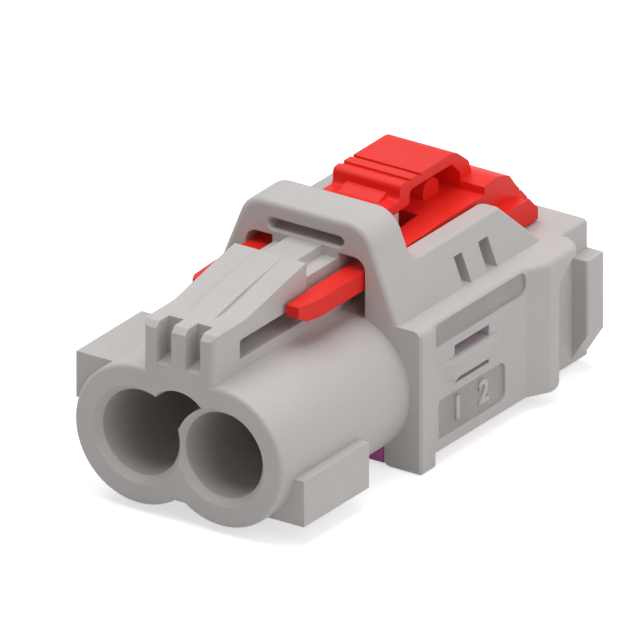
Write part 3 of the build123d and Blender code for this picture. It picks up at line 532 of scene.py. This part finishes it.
def add_bar_fade(name):
    """The smooth run-out from the front end of the right bar into the wall."""
    fade = add_block(name, (FADE_BACK_X, FADE_START, BAR_BOTTOM), (BAR_FACE_X, FADE_END, BAR_TOP))
    edit(fade)
    for i in range(1, FADE_CUTS + 1):
        bpy.ops.mesh.select_all(action="SELECT")
        cut = FADE_START + (FADE_END - FADE_START) * i / (FADE_CUTS + 1)
        bpy.ops.mesh.bisect(plane_co=(0, cut, 0), plane_no=(0, 1, 0))
    pick_edges(fade, lambda at, run: abs(run.y) > STRAIGHT and at.x > BAR_FACE_X - SLACK)
    bpy.ops.mesh.bevel(offset=BAR_ROUNDING, segments=BAR_ROUNDING_CUTS, profile=0.5)
    pick_faces(fade, lambda at, normal: normal.y < -STRAIGHT)
    bpy.ops.transform.translate(value=(FADE_TOE_X - BAR_FACE_X, 0, 0), use_proportional_edit=True,
                                proportional_edit_falloff="SMOOTH", proportional_size=FADE_END - FADE_START)
    bpy.ops.object.mode_set(mode="OBJECT")
    return fade


def mirror_copy(source, name, along_x=False, along_y=False):
    """A copy of a run-out, mirrored across the jack or along the bar, with its own mesh."""
    bpy.ops.object.select_all(action="DESELECT")
    source.select_set(True)
    bpy.context.view_layer.objects.active = source
    bpy.ops.object.duplicate()
    copy = bpy.context.object
    copy.name = name
    edit(copy)
    bpy.ops.mesh.select_all(action="SELECT")
    bpy.ops.transform.mirror(constraint_axis=(along_x, along_y, False), center_override=(0, BAR_MIDDLE_Y, 0))
    bpy.ops.object.mode_set(mode="OBJECT")
    return copy


def add_bar_fades():
    front_right = add_bar_fade("bar_fade_front_right")
    rear_right = mirror_copy(front_right, "bar_fade_rear_right", along_y=True)
    front_left = mirror_copy(front_right, "bar_fade_front_left", along_x=True)
    rear_left = mirror_copy(rear_right, "bar_fade_rear_left", along_x=True)
    for fade in (front_right, rear_right, front_left, rear_left):
        edit(fade)
        turn_faces_out()
        bpy.ops.object.shade_smooth_by_angle(angle=SMOOTH_BELOW)
        finish_piece(fade, "housing_plastic")


# Floor and light

FLOOR_Z = -5.52 * MM
FLOOR_SIZE = 3.0
FLOOR_GREY = (0.72, 0.72, 0.72, 1)
FLOOR_GLOW = 0.62              # only for rays from the camera, which then see a white floor
WHITE = (1, 1, 1, 1)
ROOM_LIGHT = 0.18
BACKGROUND_WHITE = 1.0
LAMP_DISTANCE = 0.4
LAMP_SIZE = 0.4


def background_rays(tree):
    """1 where the camera, or a mirror or glass in its view, looks straight at the background."""
    path = add_node(tree, "ShaderNodeLightPath")
    seen = maths(tree, "MAXIMUM", path.outputs["Is Camera Ray"], path.outputs["Is Glossy Ray"])
    return maths(tree, "MAXIMUM", seen, path.outputs["Is Transmission Ray"])


def add_floor():
    """White to the camera, apart from the jack's soft shadow; a plain pale grey to all else."""
    bpy.ops.mesh.primitive_plane_add(size=FLOOR_SIZE, location=(0, 0, FLOOR_Z))
    floor = bpy.context.object
    floor.name = "floor"
    bpy.ops.object.transform_apply(location=True)
    material = bpy.data.materials.new("pale_floor")
    material.use_nodes = True
    tree = material.node_tree
    shader = tree.nodes["Principled BSDF"]
    shader.inputs["Base Color"].default_value = FLOOR_GREY
    shader.inputs["Roughness"].default_value = 1.0
    shader.inputs["Specular IOR Level"].default_value = 0.0
    shader.inputs["Emission Color"].default_value = WHITE
    tree.links.new(scaled(tree, background_rays(tree), FLOOR_GLOW), shader.inputs["Emission Strength"])
    floor.data.materials.append(material)
    bpy.ops.object.select_all(action="DESELECT")


def add_lamp(name, azimuth, elevation, power):
    direction = outward(math.radians(azimuth), math.radians(elevation))
    middle = (cad_low + cad_high) / 2
    bpy.ops.object.light_add(type="AREA", location=middle + direction * LAMP_DISTANCE)
    lamp = bpy.context.object
    lamp.name = name
    aim_inward(lamp, direction)
    lamp.data.size = LAMP_SIZE
    lamp.data.energy = power


def add_room_light():
    world = bpy.data.worlds.new("studio")
    bpy.context.scene.world = world
    world.use_nodes = True
    tree = world.node_tree
    light = tree.nodes["Background"]
    light.inputs["Color"].default_value = WHITE
    strength = stretch(tree, background_rays(tree), 0.0, 1.0, ROOM_LIGHT, BACKGROUND_WHITE)
    tree.links.new(strength, light.inputs["Strength"])


add_camera()
dress_nodes()
add_plate_floor("upper_plate_floor", *UPPER_PLATE)
add_plate_floor("lower_plate_floor", *LOWER_PLATE)
add_position_numbers()
add_bar_fades()
add_floor()
add_lamp("key", azimuth=270, elevation=81, power=1.31)
add_lamp("side", azimuth=84, elevation=32, power=0.6)
add_room_light()
bpy.context.scene.view_settings.view_transform = "Standard"
